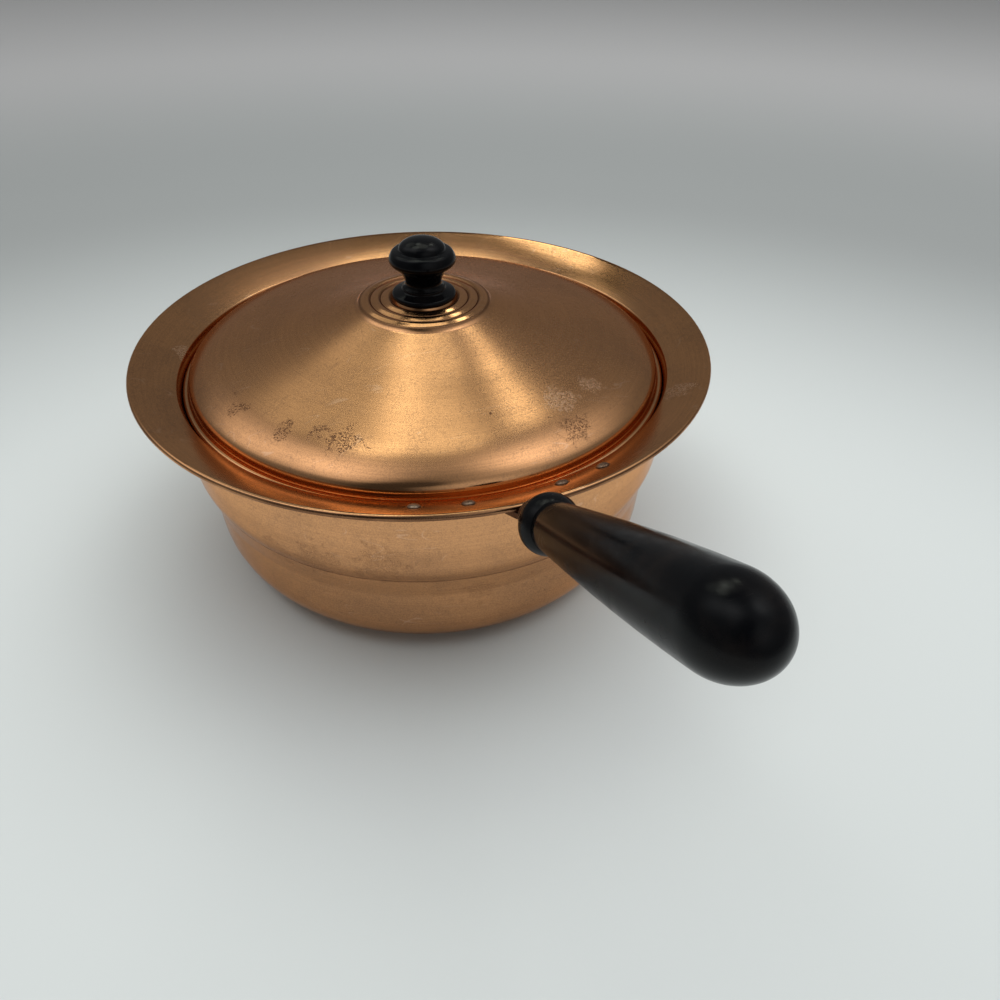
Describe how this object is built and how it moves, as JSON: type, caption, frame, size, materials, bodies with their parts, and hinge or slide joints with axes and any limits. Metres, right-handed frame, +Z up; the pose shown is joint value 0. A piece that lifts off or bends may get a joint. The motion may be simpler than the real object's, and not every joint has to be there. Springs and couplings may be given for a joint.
{
  "type": "chafing dish",
  "caption": "Round copper chafing dish pan with a wide flared rim, a drop-in domed lid with a turned knob, and a long upswept turned handle.",
  "frame": {"origin": "centre of the flat base, on the surface that the pan stands on", "axes": "+X from the pan's axis out towards the handle, +Z up along the pan's axis"},
  "size_m": [0.439, 0.3038, 0.1937],
  "materials": {
    "pan_copper": "satin spun copper, lightly tarnished",
    "lid_copper": "satin spun copper, mottled with brown tarnish",
    "edge_wire": "drawn",
    "knob_black": "turned, polished black",
    "handle_black": "turned, polished black",
    "insert_brass": "dull",
    "screw_steel": "dull",
    "rivet_metal": "dull grey, hammered",
    "bracket_metal": "dark, browned"
  },
  "bodies": {
    "pan": {"pan_shell": "pan_copper", "rim_wire": "edge_wire", "handle_bracket": "bracket_metal", "bracket_rivet_1": "rivet_metal", "bracket_rivet_2": "rivet_metal", "bracket_rivet_3": "rivet_metal", "bracket_rivet_4": "rivet_metal", "handle_stud": "screw_steel", "collar_washer": "screw_steel", "handle_collar": "handle_black", "grip_insert": "insert_brass", "handle_grip": "handle_black"},
    "lid": {"lid_shell": "lid_copper", "lid_edge_wire": "edge_wire", "lid_knob": "knob_black", "knob_insert": "insert_brass", "knob_screw": "screw_steel", "knob_washer": "screw_steel"}
  },
  "joints": [
    {"name": "lid_lift", "type": "slide", "parent": "pan", "child": "lid", "axis": [0, 0, 1], "range_m": [0, 0.12]}
  ]
}
